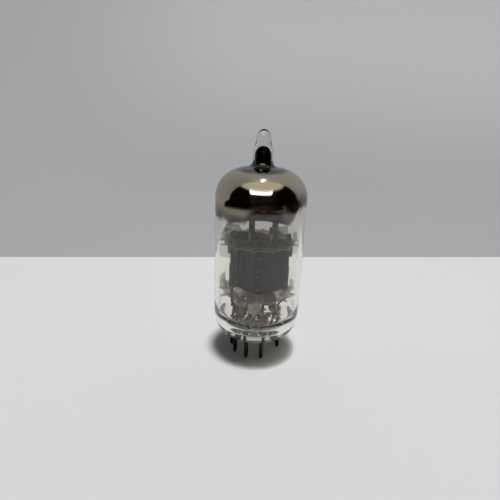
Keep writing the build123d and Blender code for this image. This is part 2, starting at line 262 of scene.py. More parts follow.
@dataclass(frozen=True)
class Carbon(Finish):
    """Carbonised sheet: dull dark grey with faint violet and green bloom, a fine soot grain and a
    painted shade band.
    """

    grey: Colour
    violet: Colour
    green: Colour
    rough: float = 0.62
    # Span across the sheet of a painted shade stripe, over a facet that falls in shade
    band: Pair = (0.0, 0.0)
    stakes: tuple[Point, ...] = ()
    shade_band_edge: float = 0.12 * MM
    stake_edge: Pair = (0.2 * MM, 0.45 * MM)
    scuffed: Colour = tone(112, 112, 110)
    # Colour of the painted shade stripe
    painted_shade: Colour = tone(17, 19, 18)
    welded: Colour = tone(128, 128, 124)

    def surface(self, graph: Graph) -> Value:
        """Builds its shader."""
        place = graph.place()
        tall = graph.place((1.0, 1.0, 0.35))
        bloom = graph.noise(tall, 4.0 * MM, 2.0).step(0.4, 0.66)
        cast = graph.noise(tall, 2.6 * MM, 2.0).step(0.45, 0.7)
        soot = graph.noise(place, 0.09 * MM, 3.0, 0.7)
        scuffs = graph.noise(place, 0.6 * MM, 5.0, 0.75).step(0.55, 0.78)
        base = graph.mix(bloom * 0.75, self.grey, self.violet)
        base = graph.mix(cast * 0.6, base, self.green)
        worn = graph.mix(scuffs * 0.25, base, self.scuffed)
        # Painted shade: darkens the band's facet to near black, as if it lay in shade
        if self.band[1] > self.band[0]:
            across, _, _ = graph.axes(place)
            shaded = across.band(*self.band, self.shade_band_edge) * 0.92
            worn = graph.mix(shaded, worn, self.painted_shade)
        for stake in self.stakes:
            ends = {0: place, 1: stake}
            offset = graph.node("ShaderNodeVectorMath", {"operation": "DISTANCE"}, ends, "Value")
            dot = (1.0 - offset.step(*self.stake_edge)) * 0.85
            worn = graph.mix(dot, worn, self.welded)
        return graph.skin(
            Base_Color=worn,
            Metallic=0.25,
            Roughness=self.rough + soot * 0.2 - scuffs * 0.15,
            Normal=graph.bump(soot, 0.012 * MM),
        )


@dataclass(frozen=True)
class Flake(Finish):
    """Split mica: milky cream layers with pink and yellow stains, partly see-through."""

    cream: Colour
    pink: Colour
    yellow: Colour
    body: float
    cracked: Colour = tone(92, 74, 58)

    def surface(self, graph: Graph) -> Value:
        """Builds its shader."""
        place = graph.place()
        layers = graph.noise(place, 1.8 * MM, 4.0, 0.6)
        blush = graph.noise(place, 3.0 * MM, 2.0).step(0.45, 0.62)
        gold = graph.noise(place, 2.2 * MM, 2.0).step(0.56, 0.7)
        cracks = graph.noise(graph.place((1.0, 1.0, 3.0)), 0.35 * MM, 5.0, 0.8)
        colour = graph.mix(blush * 0.7, self.cream, self.pink)
        colour = graph.mix(gold * 0.6, colour, self.yellow)
        colour = graph.mix(cracks.step(0.6, 0.78) * 0.6, colour, self.cracked)
        return graph.skin(
            Base_Color=colour,
            Roughness=0.28 + cracks * 0.25,
            Alpha=self.body + layers.step(0.35, 0.65) * 0.3,
            Normal=graph.bump(layers * 0.7 + cracks * 0.3, 0.03 * MM),
        )


@dataclass(frozen=True)
class Powder(Finish):
    """A chalky sprayed coating."""

    white: Colour
    dust: Colour

    def surface(self, graph: Graph) -> Value:
        """Builds its shader."""
        place = graph.place()
        grains = graph.noise(place, 0.06 * MM, 3.0, 0.7)
        patches = graph.noise(place, 1.0 * MM, 3.0)
        return graph.skin(
            Base_Color=graph.mix(patches.step(0.4, 0.7) * 0.6, self.white, self.dust),
            Roughness=0.8 + grains * 0.15,
            Normal=graph.bump(grains, 0.02 * MM),
        )


@dataclass(frozen=True)
class ClearGlass(Finish):
    """Clear soft glass, faintly wavy, with seeds in the solid tip."""

    tint: Colour
    shade: Colour
    ripple: float
    seed_height: float
    seed_edge: float = 0.4 * MM
    seed_size: float = 0.55 * MM
    wave_size: float = 2.4 * MM

    def surface(self, graph: Graph) -> Value:
        """Builds its shader. Light for what is inside passes straight through."""
        place = graph.place((1.0, 1.0, 0.25))
        _, _, height = graph.axes(graph.place())
        waves = graph.noise(place, self.wave_size, 1.0)
        seeds = graph.noise(graph.place((1.0, 1.0, 0.4)), self.seed_size, 2.0)
        solid = height.step(self.seed_height - self.seed_edge, self.seed_height + self.seed_edge)
        clear = graph.skin(
            Base_Color=self.tint,
            Transmission_Weight=1.0,
            Roughness=0.0,
            IOR=1.5,
            Normal=graph.bump(waves + seeds * solid * 1.5, self.ripple),
        )
        passing = graph.node("ShaderNodeBsdfTransparent", {}, {"Color": self.shade})
        is_shadow = graph.node("ShaderNodeLightPath", output="Is Shadow Ray")
        return graph.node("ShaderNodeMixShader", {}, {0: is_shadow, 1: clear, 2: passing})


@dataclass(frozen=True)
class MirrorFilm(Finish):
    """Getter metal on the glass: a warm mirror that thins to a brown stain at its lower edge,
    painted black in the neck and bore as a dark reflection.
    """

    silver: Colour
    stain: Colour
    # Near-black: dark runs in the thin stain, and the painted dark reflection in the neck and bore
    soot: Colour
    left_edge: float
    right_edge: float
    back_edge: float
    fade: float
    # Height from which the film is painted black as a dark reflection
    dark_reflection_from: float
    dark_reflection_edge: float = 0.25 * MM
    ragged: float = 1.1 * MM
    across_edge: Pair = (-3.4 * MM, 0.2 * MM)
    back_from: Pair = (0.0, 8.0 * MM)
    bright_from: Pair = (35.0 * MM, 40.0 * MM)

    def surface(self, graph: Graph) -> Value:
        """Builds its shader."""
        place = graph.place()
        across, along, height = graph.axes(place)
        wander = graph.noise(place, 3.0 * MM, 3.0) - 0.5
        runs = graph.noise(graph.place((1.0, 1.0, 0.2)), 1.2 * MM, 3.0)
        rightward = across.step(*self.across_edge)
        backward = along.step(*self.back_from)
        front = rightward * (self.right_edge - self.left_edge) + self.left_edge
        edge = front + backward * (self.back_edge - front) + wander * self.ragged
        depth = height - edge
        cover = depth.step(0.0, self.fade)
        bright = height.step(*self.bright_from)
        metal = depth.step(self.fade * 0.35, self.fade * 2.4) * (1.0 - backward * (1.0 - bright))
        # Painted reflection: the film turns near-black up in the neck and bore, where the mirror
        # looks dark
        dark_reflection_mask = height.step(self.dark_reflection_from - self.dark_reflection_edge, self.dark_reflection_from + self.dark_reflection_edge)
        colour = graph.mix(metal, self.stain, self.silver)
        colour = graph.mix(runs.step(0.5, 0.8) * (1.0 - metal) * 0.6, colour, self.soot)
        colour = graph.mix(dark_reflection_mask, colour, self.soot)
        return graph.skin(
            Base_Color=colour,
            Metallic=1.0,
            Roughness=0.04 + runs * (1.0 - metal) * 0.2,
            Alpha=cover * 0.75 + depth.step(self.fade * 0.8, self.fade * 1.5) * 0.25,
        )


@dataclass(frozen=True)
class Plaster(Finish):
    """A pale matt surface of the room, with a slow drift in tone and a fine tooth.

    Beyond its reach, if it has one, it looks dark in a mirror. The pale colour, if it has one,
    is painted light that takes over high up and to the right. Its glow is painted light too,
    and isn't seen by what it would light.
    """

    light: Colour
    shade: Colour
    drift: float
    glow: float = 0.0
    reach: float = 0.0
    # Painted light: a paler tone that takes over high up and to the right
    pale: Colour | None = None
    painted_light_up: Pair = (30.0 * MM, 85.0 * MM)
    painted_light_right: Pair = (-90.0 * MM, 0.0)

    def surface(self, graph: Graph) -> Value:
        """Builds its shader."""
        place = graph.place()
        cloud = graph.noise(place, self.drift, 2.0)
        tooth = graph.noise(place, 0.8 * MM, 3.0)
        colour = graph.mix(cloud * 0.8 + tooth * 0.2, self.light, self.shade)
        if self.reach:
            mirrored = graph.node("ShaderNodeLightPath", output="Is Glossy Ray")
            length = {"operation": "LENGTH"}
            distance = graph.node("ShaderNodeVectorMath", length, {0: place}, "Value")
            unlit = distance.step(self.reach, self.reach * 1.1) * mirrored
        # Painted light: the surface turns paler high up and to the right, as if more brightly lit
        # there
        if self.pale:
            across, _, height = graph.axes(place)
            rise = height.step(*self.painted_light_up) * across.step(*self.painted_light_right)
            colour = graph.mix(rise, colour, self.pale)
        # Painted light: the glow brightens the surface itself but lights nothing by diffuse bounce
        scattered = graph.node("ShaderNodeLightPath", output="Diffuse Depth")
        surface = graph.skin(
            Base_Color=colour,
            Emission_Color=graph.mix(scattered, colour, BLACK),
            Emission_Strength=self.glow,
            Roughness=0.75 + tooth * 0.1,
            Specular_IOR_Level=0.1,
            Normal=graph.bump(tooth, 0.01 * MM),
        )
        if self.reach:
            dark = graph.node("ShaderNodeBsdfDiffuse", {}, {"Color": BLACK})
            surface = graph.node("ShaderNodeMixShader", {}, {0: unlit, 1: surface, 2: dark})
        return surface


@lru_cache(maxsize=None)
def material_of(finish: Finish) -> bpy.types.Material:
    """Gives a finish's material, made once and shared."""
    return finish.material()


class Finishes:
    """Every finish of the tube and of the room."""

    glass = ClearGlass(
        "clear_glass", tone(247, 246, 241), tone(216, 218, 214), 0.004 * MM, 51.6 * MM
    )
    # From 45.15 mm up the film is painted black as a dark reflection
    film = MirrorFilm(
        "mirror_film", tone(184, 174, 158), tone(84, 68, 52), tone(14, 14, 12),
        34.9 * MM, 38.2 * MM, 29.6 * MM, 1.9 * MM, 45.15 * MM,
    )
    pin = Metal("tarnished_pin", tone(52, 44, 36), tone(22, 18, 16), 0.24, 0.9)
    nickel = Metal("strap_nickel", tone(118, 104, 84), tone(46, 38, 30), 0.3)
    dark_nickel = Metal("dark_nickel", tone(76, 74, 72), tone(48, 48, 47), 0.45, 0.8)
    lead = Metal("lead_nickel", tone(168, 150, 126), tone(66, 46, 36), 0.3, patch=0.8 * MM)
    lead_brown = Metal("lead_brown", tone(138, 104, 84), tone(62, 40, 34), 0.34, patch=0.7 * MM)
    lead_dark = Metal("lead_dark", tone(96, 88, 74), tone(38, 34, 28), 0.4, patch=0.7 * MM)
    lead_gold = Metal("lead_gold", tone(168, 152, 112), tone(78, 62, 42), 0.3, patch=0.8 * MM)
    shield = Metal("pale_nickel", tone(232, 224, 208), tone(190, 178, 160), 0.42, 0.3)
    copper = Metal("copper_rod", tone(214, 150, 128), tone(150, 92, 74), 0.3)
    wire = Metal("grid_wire", tone(150, 138, 118), tone(96, 82, 66), 0.35)
    residue = Metal("getter_residue", tone(58, 52, 46), tone(26, 24, 22), 0.7, 0.3)
    anode = Carbon("anode_grey", tone(68, 70, 69), tone(63, 60, 70), tone(55, 62, 56))
    # The front anodes carry a painted shade stripe over their recessed facets
    anode_left = replace(anode, name="anode_grey_left", band=(-4.95 * MM, -3.0 * MM))
    anode_right = replace(anode, name="anode_grey_right", band=(5.5 * MM, 9.0 * MM))
    # Painted shade: the screen's carbon is near-black, standing in for the shade of the deep dotted
    # band between the anodes
    panel = Carbon(
        "screen_grey", tone(22, 24, 23), tone(22, 21, 25), tone(19, 23, 21),
        stakes=tuple((0.3 * MM, -4.1 * MM, height * MM) for height in (18.3, 21.6, 23.0, 26.1)),
    )
    mica = Flake("mica", tone(204, 196, 184), tone(200, 168, 158), tone(194, 180, 136), 0.42)
    flake = Flake("mica_flake", tone(226, 218, 204), tone(216, 188, 178), tone(208, 194, 150), 0.3)
    cathode = Powder("cathode_white", tone(232, 230, 224), tone(198, 194, 186))
    heater = Powder("heater_white", tone(238, 236, 232), tone(206, 200, 192))
    table = Plaster("pale_table", tone(228, 228, 227), tone(222, 222, 221), 120 * MM, reach=0.163)
    # Painted light: the wall's glow and its paler top right
    wall = Plaster(
        "grey_wall", tone(186, 186, 188), tone(178, 178, 181), 160 * MM, 0.42,
        pale=tone(202, 202, 204),
    )


# --------------------------------------------------------------------------- bench tools


MERGE = 0.001 * MM
GLASS_CREASE = 60.0
WIRE_CREASE = 50.0


def deselect() -> None:
    """Leaves nothing selected."""
    bpy.ops.object.select_all(action="DESELECT")


def take(piece: bpy.types.Object) -> None:
    """Selects one object alone."""
    deselect()
    piece.select_set(True)
    bpy.context.view_layer.objects.active = piece


@contextmanager
def editing(piece: bpy.types.Object) -> Iterator[None]:
    """Holds one object in edit mode."""
    take(piece)
    bpy.ops.object.mode_set(mode="EDIT")
    yield
    bpy.ops.object.mode_set(mode="OBJECT")


def named(name: str) -> bpy.types.Object:
    """Names the active object and its mesh."""
    piece = bpy.context.object
    piece.name = name
    piece.data.name = name
    return piece


def settle(piece: bpy.types.Object) -> None:
    """Puts the object at the origin, with its place in its mesh."""
    take(piece)
    bpy.ops.object.transform_apply(location=True, rotation=True, scale=True)


def smooth(piece: bpy.types.Object, angle: float = 35.0) -> None:
    """Shades the piece smooth but for edges sharper than the angle, in degrees."""
    take(piece)
    bpy.ops.object.shade_smooth_by_angle(angle=math.radians(angle))


def modify(piece: bpy.types.Object, kind: str, **settings: object) -> None:
    """Adds one modifier and applies it."""
    take(piece)
    modifier = piece.modifiers.new(kind.lower(), kind)
    for name, setting in settings.items():
        setattr(modifier, name, setting)
    bpy.ops.object.modifier_apply(modifier=modifier.name)


def joined(pieces: Sequence[bpy.types.Object], name: str) -> bpy.types.Object:
    """Joins pieces into the first of them."""
    take(pieces[0])
    for piece in pieces:
        piece.select_set(True)
    bpy.ops.object.join()
    return named(name)


def fit(piece: bpy.types.Object, finish: Finish, slot: str, *nodes: str) -> bpy.types.Object:
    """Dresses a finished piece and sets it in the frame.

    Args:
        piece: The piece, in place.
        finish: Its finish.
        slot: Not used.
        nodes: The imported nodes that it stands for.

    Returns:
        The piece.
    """
    piece.data.materials.clear()
    piece.data.materials.append(material_of(finish))
    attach(piece, BODY)
    if nodes:
        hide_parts(*nodes)
    log.info("%s: %d faces, for %s", piece.name, len(piece.data.polygons), ", ".join(nodes))
    return piece


def paint(node: str, finish: Finish) -> None:
    """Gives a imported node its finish."""
    mesh = NODES[node].data
    mesh.materials.clear()
    mesh.materials.append(material_of(finish))
    log.info("%s: packed node, finish %s", node, finish.name)


class Outline:
    """A profile to be turned round the tube's axis, as radius and height."""

    def __init__(self, radius: float, height: float) -> None:
        """Starts the profile."""
        self.points = [Vector((radius, 0.0, height))]

    def line(self, radius: float, height: float, steps: int = 1) -> "Outline":
        """Draws a straight stretch."""
        start, end = self.points[-1], Vector((radius, 0.0, height))
        self.points += [start.lerp(end, (n + 1) / steps) for n in range(steps)]
        return self

    def bend(
        self,
        radius: float,
        height: float,
        leave: Pair,
        arrive: Pair,
        steps: int = 8,
    ) -> "Outline":
        """Draws a curved stretch.

        Args:
            radius: Radius at its end.
            height: Height at its end.
            leave: Direction at its start.
            arrive: Direction at its end.
            steps: Number of short lines.

        Returns:
            The profile.
        """
        extra = 0.657
        start, end = self.points[-1].copy(), Vector((radius, 0.0, height))
        first = Vector((leave[0], 0.0, leave[1])).normalized()
        last = Vector((arrive[0], 0.0, arrive[1])).normalized()
        fullness = 1.0 + extra * first.cross(last).length
        first *= fullness * abs(first.dot(end - start))
        last *= fullness * abs(last.dot(end - start))
        for n in range(1, steps + 1):
            t = n / steps
            point = (2 * t**3 - 3 * t**2 + 1) * start + (t**3 - 2 * t**2 + t) * first
            self.points.append(point + (3 * t**2 - 2 * t**3) * end + (t**3 - t**2) * last)
        return self

    def turned(self, name: str, sides: int, inward: bool = False) -> bpy.types.Object:
        """Turns the profile into a closed skin.

        Args:
            name: The piece's name.
            sides: Number of sides round the axis.
            inward: Whether its faces look into the hollow.

        Returns:
            The piece.
        """
        deselect()
        bpy.ops.mesh.primitive_plane_add(size=MM)
        piece = named(name)
        with editing(piece):
            bpy.ops.mesh.select_all(action="SELECT")
            bpy.ops.mesh.merge(type="CENTER")
            bpy.ops.transform.translate(value=self.points[0])
            for before, after in zip(self.points, self.points[1:]):
                step = {"value": after - before}
                bpy.ops.mesh.extrude_vertices_move(TRANSFORM_OT_translate=step)
            bpy.ops.mesh.select_all(action="SELECT")
            bpy.ops.mesh.spin(
                steps=sides, angle=math.tau, center=(0.0, 0.0, 0.0), axis=(0.0, 0.0, 1.0)
            )
            bpy.ops.mesh.select_all(action="SELECT")
            bpy.ops.mesh.remove_doubles(threshold=MERGE)
            bpy.ops.mesh.normals_make_consistent(inside=inward)
        return piece


def refit(node: str, finish: Finish, slot: str, bevel: float = 0.04 * MM) -> bpy.types.Object:
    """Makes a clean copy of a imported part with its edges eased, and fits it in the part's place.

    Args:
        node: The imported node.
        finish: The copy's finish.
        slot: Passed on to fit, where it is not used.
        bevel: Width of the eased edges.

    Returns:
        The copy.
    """
    piece = bpy.data.objects.new(f"{node}_piece", NODES[node].data.copy())
    bpy.context.scene.collection.objects.link(piece)
    with editing(piece):
        bpy.ops.mesh.select_all(action="SELECT")
        bpy.ops.mesh.remove_doubles(threshold=2 * MERGE)
        bpy.ops.mesh.dissolve_limited(angle_limit=math.radians(1.0))
    if bevel:
        modify(
            piece, "BEVEL", width=bevel, segments=2, limit_method="ANGLE",
            angle_limit=math.radians(35.0), use_clamp_overlap=True,
        )
    smooth(piece)
    return fit(piece, finish, slot, node)


def wire(
    name: str, route: Sequence[Point], radius: float, flat: float = 0.0, sides: int = 3
) -> bpy.types.Object:
    """Bends a wire or a strip along a smooth route.

    Args:
        name: The piece's name.
        route: Points that guide its centre line.
        radius: Half its thickness.
        flat: Half the extra width of a strip, 0 for round wire.
        sides: Fineness of its round edge.

    Returns:
        The piece, as a mesh.
    """
    deselect()
    bpy.ops.curve.primitive_nurbs_path_add()
    piece = bpy.context.object
    curve = piece.data
    curve.splines.clear()
    spline = curve.splines.new("NURBS")
    spline.points.add(len(route) - 1)
    for point, place in zip(spline.points, route):
        point.co = (*place, 1.0)
    spline.order_u = 3
    spline.use_endpoint_u = True
    spline.resolution_u = 6
    curve.bevel_depth = radius
    curve.bevel_resolution = sides
    curve.extrude = flat
    curve.use_fill_caps = True
    settle(piece)
    bpy.ops.object.convert(target="MESH")
    piece = named(name)
    with editing(piece):
        bpy.ops.mesh.select_all(action="SELECT")
        bpy.ops.mesh.remove_doubles(threshold=MERGE)
        bpy.ops.mesh.normals_make_consistent(inside=False)
    smooth(piece, WIRE_CREASE)
    return piece


def leaf(
    name: str, corners: Sequence[Point], thickness: float, ragged: float, seed: int
) -> bpy.types.Object:
    """Tears a thin sheet to four corners.

    Args:
        name: The piece's name.
        corners: Near left, near right, far left and far right corners.
        thickness: The sheet's thickness.
        ragged: How far its edges and face wander.
        seed: Start of its random numbers.

    Returns:
        The sheet as a closed piece.
    """
    cuts = 7
    deselect()
    bpy.ops.mesh.primitive_plane_add(size=MM)
    piece = named(name)
    square = piece.data.vertices
    order = sorted(range(4), key=lambda n: (square[n].co.y, square[n].co.x))
    for index, corner in zip(order, corners):
        with editing(piece):
            bpy.ops.mesh.select_all(action="DESELECT")
            shape = bmesh.from_edit_mesh(piece.data)
            shape.verts.ensure_lookup_table()
            shape.verts[index].select_set(True)
            move = Vector(corner) - shape.verts[index].co
            bmesh.update_edit_mesh(piece.data)
            bpy.ops.transform.translate(value=move)
    with editing(piece):
        bpy.ops.mesh.select_all(action="SELECT")
        bpy.ops.mesh.subdivide(number_cuts=cuts, smoothness=0.0, fractal=ragged, seed=seed)
    modify(piece, "SOLIDIFY", thickness=thickness, offset=0.0)
    smooth(piece, WIRE_CREASE)
    return piece


# --------------------------------------------------------------------------- the tube


PIN_COUNT = 9
PIN_PITCH = math.radians(36.0)
PIN_CIRCLE = 5.945 * MM
OUT, DOWN = (1, 0), (0, -1)
NECK_SLOPE = (0.1, -1)
DOME_SLOPE = (1, -0.12)
HEEL_SLOPE = (-1, -0.2)
SEAM_SLOPE = (-0.9, -0.3)


def pin_centre(number: int, height: float = 0.0) -> Vector:
    """Centre of a pin, counted from 1, at a height."""
    angle = PIN_PITCH * (number - 1)
    return Vector((PIN_CIRCLE * math.cos(angle), PIN_CIRCLE * math.sin(angle), height))


@dataclass
class Envelope:
    """The blown bulb and the pressed button that seals it, fused into one body of glass."""

    sides: int = 160
    top: float = 54.7 * MM
    tip_radius: float = 1.67 * MM
    tip_bottom: float = 52.3 * MM
    neck_top: Pair = (2.2 * MM, 50.2 * MM)
    neck_radius: float = 2.25 * MM
    neck_bottom: float = 48.0 * MM
    crown: Pair = (3.7 * MM, 46.5 * MM)
    radius: float = 10.6 * MM
    shoulder: float = 39.6 * MM
    heel: float = 12.2 * MM
    button: Pair = (7.9 * MM, 6.0 * MM)
    wall: float = 0.9 * MM
    bore: float = 1.25 * MM
    bore_top: float = 50.9 * MM
    bore_shoulder: float = 48.9 * MM
    bore_bottom: float = 47.7 * MM
    dome_rim: Pair = (3.2 * MM, 45.6 * MM)
    seam: float = 13.8 * MM
    seam_lip: Pair = (7.9 * MM, 10.0 * MM)
    seam_foot: float = 7.1 * MM
    floor: float = 7.9 * MM
    bead_rise: float = 0.9 * MM
    bead_drop: float = 0.35 * MM
    bead_reach: float = 1.35 * MM

    def outside(self) -> Outline:
        """The outer profile, from the tip down to the middle of the button."""
        profile = Outline(0.0, self.top)
        profile.bend(self.tip_radius, self.tip_bottom, OUT, DOWN, 12)
        profile.bend(*self.neck_top, NECK_SLOPE, NECK_SLOPE, 5)
        profile.line(self.neck_radius, self.neck_bottom, 3)
        profile.bend(*self.crown, DOWN, DOME_SLOPE, 10)
        profile.bend(self.radius, self.shoulder, DOME_SLOPE, DOWN, 28)
        profile.line(self.radius, self.heel, 12)
        profile.bend(*self.button, DOWN, HEEL_SLOPE, 18)
        profile.line(PIN_CIRCLE, self.button[1], 8)
        return profile.line(0.0, self.button[1], 22)

    def dome(self, inset: float = 0.0) -> Outline:
        """The hollow's profile down to the shoulder, that far inside its wall."""
        profile = Outline(0.0, self.bore_top - inset)
        profile.bend(self.bore - inset, self.bore_shoulder, OUT, DOWN, 10)
        profile.line(self.bore - inset, self.bore_bottom, 3)
        profile.bend(self.dome_rim[0], self.dome_rim[1] - inset, DOWN, DOME_SLOPE, 8)
        hollow = self.radius - self.wall - inset
        return profile.bend(hollow, self.shoulder, DOME_SLOPE, DOWN, 28)

    def inside(self) -> Outline:
        """The profile of the hollow, from the top of the bore to the floor."""
        profile = self.dome()
        profile.line(self.radius - self.wall, self.seam, 12)
        profile.bend(*self.seam_lip, DOWN, SEAM_SLOPE, 16)
        profile.bend(self.seam_foot, self.floor, SEAM_SLOPE, (-1, 0), 8)
        profile.line(PIN_CIRCLE, self.floor, 6)
        return profile.line(0.0, self.floor, 22)

    def raise_beads(self, skin: bpy.types.Object, height: float, rise: float) -> None:
        """Draws the glass up or down round each pin.

        Args:
            skin: The skin to shape.
            height: Height of its flat face.
            rise: How far the bead stands out.
        """
        for number in range(1, PIN_COUNT + 1):
            centre = pin_centre(number, height)
            with editing(skin):
                bpy.ops.mesh.select_all(action="DESELECT")
                shape = bmesh.from_edit_mesh(skin.data)
                nearest = min(shape.verts, key=lambda v: (v.co - centre).length)
                nearest.select_set(True)
                bmesh.update_edit_mesh(skin.data)
                bpy.ops.transform.translate(
                    value=(0.0, 0.0, rise),
                    use_proportional_edit=True,
                    proportional_edit_falloff="SMOOTH",
                    proportional_size=self.bead_reach,
                    use_proportional_connected=True,
                )

    def build(self) -> None:
        """Turns both skins, raises the beads and joins them."""
        outer = self.outside().turned("glass_envelope", self.sides)
        inner = self.inside().turned("glass_hollow", self.sides, inward=True)
        self.raise_beads(outer, self.button[1], -self.bead_drop)
        self.raise_beads(inner, self.floor, self.bead_rise)
        piece = joined([outer, inner], "glass_envelope")
        smooth(piece, GLASS_CREASE)
        fit(piece, Finishes.glass, "bulb_glass", "bulb", "stem_button")


@dataclass
class GetterMirror:
    """The skin of getter metal fired on to the inside of the dome and the bore.

    It sits in the face of the glass, so that no gap shows between the two.
    """

    glass: Envelope
    bite: float = 0.04 * MM
    thickness: float = 0.03 * MM
    bottom: float = 31.45 * MM

    def profile(self, inset: float) -> Outline:
        """The film's profile, that far inside the wall of the hollow."""
        shape = self.glass.dome(inset)
        return shape.line(shape.points[-1].x, self.bottom, 6)

    def build(self) -> None:
        """Turns the film as a thin closed shell."""
        shell = self.profile(-self.bite)
        shell.points += reversed(self.profile(self.thickness - self.bite).points)
        piece = shell.turned("getter_mirror", self.glass.sides)
        smooth(piece, GLASS_CREASE)
        fit(piece, Finishes.film, "getter_mirror", "getter_film")


@dataclass
class BasePins:
    """Nine base pins with rounded tips, each sealed in the glass."""

    radius: float = 0.508 * MM
    tip: float = 0.28 * MM
    taper: float = 0.8 * MM
    wall_top: float = 5.55 * MM
    seal: float = 0.34 * MM
    top: float = 9.2 * MM
    ease: float = 0.06 * MM

    def build(self) -> None:
        """Turns one pin and sets a copy at each place."""
        profile = Outline(0.0, 0.0).line(self.tip - self.ease, 0.0)
        profile.bend(self.tip, self.ease, (1, 0), (0.3, 1), 3)
        profile.bend(self.radius, self.taper, (0.3, 1), (0, 1), 6)
        profile.line(self.radius, self.wall_top - self.ease, 4)
        profile.bend(self.radius - self.ease, self.wall_top, (0, 1), (-1, 0), 3)
        profile.line(self.seal, self.wall_top).line(self.seal, self.top).line(0.0, self.top)
        first = profile.turned("pin_pattern", 24)
        smooth(first)
        for number in range(1, PIN_COUNT + 1):
            pin = first.copy()
            pin.data = first.data.copy()
            bpy.context.scene.collection.objects.link(pin)
            pin.name = pin.data.name = f"base_pin_{number}"
            pin.location = pin_centre(number)
            settle(pin)
            fit(pin, Finishes.pin, "pin_metal", f"pin_{number}")
        bpy.data.objects.remove(first)


class Side(Enum):
    """The tube's two sections."""

    LEFT = "left"
    RIGHT = "right"


@dataclass
class Cage:
    """Anodes, screen, cathodes, heaters and grids, held between the micas."""

    def build(self) -> None:
        """Fits the electrodes of both sections."""
        coats = {
            (Side.LEFT, "front"): Finishes.anode_left,
            (Side.RIGHT, "front"): Finishes.anode_right,
        }
        for side in Side:
            for face in ("front", "back"):
                coat = coats.get((side, face), Finishes.anode)
                refit(f"anode_{side.value}_{face}", coat, "anode_grey")
                refit(f"grid_rod_{side.value}_{face}", Finishes.copper, "copper_rod")
            refit(f"cathode_{side.value}", Finishes.cathode, "cathode_white", 0.0)
            refit(f"heater_{side.value}", Finishes.heater, "heater_white", 0.0)
            paint(f"grid_winding_{side.value}", Finishes.wire)
        refit("screen_plate", Finishes.panel, "anode_grey")


def mm(*places: Point) -> list[Point]:
    """Turns places in millimetres into metres."""
    return [(x * MM, y * MM, z * MM) for x, y, z in places]


@dataclass
class Micas:
    """The two toothed discs of split mica, with the flakes that have lifted at their edges."""

    thickness: float = 0.07 * MM
    ragged: float = 1.2
    seed: int = 3
    deck_seeds: int = 10
    upper_flakes: list[list[Point]] = field(default_factory=lambda: [
        mm((-8.7, 1.6, 29.6), (-3.9, 3.2, 29.6), (-8.2, 0.8, 33.2), (-4.9, 1.6, 32.4)),
        mm((-9.4, -0.6, 29.0), (-6.3, -1.6, 29.6), (-9.2, 0.2, 30.9), (-6.2, -0.6, 30.4)),
        mm((-8.9, -1.0, 30.9), (-7.0, 1.2, 31.2), (-8.4, 1.4, 32.4), (-6.6, 2.4, 33.0)),
        mm((2.8, 3.0, 29.6), (6.9, 2.0, 29.7), (2.6, 2.2, 31.9), (6.8, 1.6, 33.0)),
        mm((7.9, -0.9, 29.3), (9.35, 0.4, 29.3), (8.1, -0.3, 31.9), (9.2, 0.6, 31.4)),
    ])
    lower_flakes: list[list[Point]] = field(default_factory=lambda: [
        mm((-9.2, -1.0, 16.9), (-6.7, -2.2, 16.9), (-9.25, 0.2, 19.4), (-7.6, -0.9, 21.3)),
        mm((7.8, -1.4, 16.9), (9.3, -0.4, 16.9), (8.2, -0.4, 20.0), (9.2, 0.2, 19.3)),
        mm((-4.5, -8.0, 16.9), (-2.0, -8.4, 16.95), (-4.4, -8.2, 15.7), (-2.2, -8.6, 15.4)),
        mm((4.8, -7.2, 16.9), (8.2, -4.2, 16.95), (5.2, -7.4, 17.6), (8.4, -4.3, 17.5)),
    ])

    def build(self) -> None:
        """Fits both discs, each with its flakes."""
        decks = {"mica_upper": self.upper_flakes, "mica_lower": self.lower_flakes}
        for deck, (node, flakes) in enumerate(decks.items()):
            disc = refit(node, Finishes.mica, "mica", 0.0)
            seed = self.seed + self.deck_seeds * deck
            torn = [
                leaf(f"flake_{deck}_{n}", corners, self.thickness, self.ragged, seed + n)
                for n, corners in enumerate(flakes)
            ]
            for flake in torn:
                flake.data.materials.append(material_of(Finishes.flake))
            joined([disc, *torn], f"{node}_disc")


@dataclass
class GetterCup:
    """The getter ring, its spent charge and the two straps that carry it."""

    def build(self) -> None:
        """Fits the ring, the charge and the straps."""
        refit("getter_ring", Finishes.nickel, "nickel")
        refit("getter_residue", Finishes.residue, "getter_residue", 0.0)
        for side in Side:
            refit(f"getter_strap_{side.value}", Finishes.nickel, "nickel", 0.03 * MM)
        refit("deck_strip", Finishes.dark_nickel, "dark_nickel")


def foot_of(node: str, tolerance: float = 0.05 * MM) -> Point:
    """Middle of a packed lead's upper end, where it meets its electrode."""
    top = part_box(node)[1].z
    ends = [v.co for v in NODES[node].data.vertices if v.co.z > top - tolerance]
    middle = sum(ends, Vector()) / len(ends)
    return (middle.x, middle.y, top)


@dataclass(frozen=True)
class Lead:
    """One connection: the pin it starts from, where it ends, and its finish."""

    node: str
    pin: int
    foot: Point
    finish: Metal


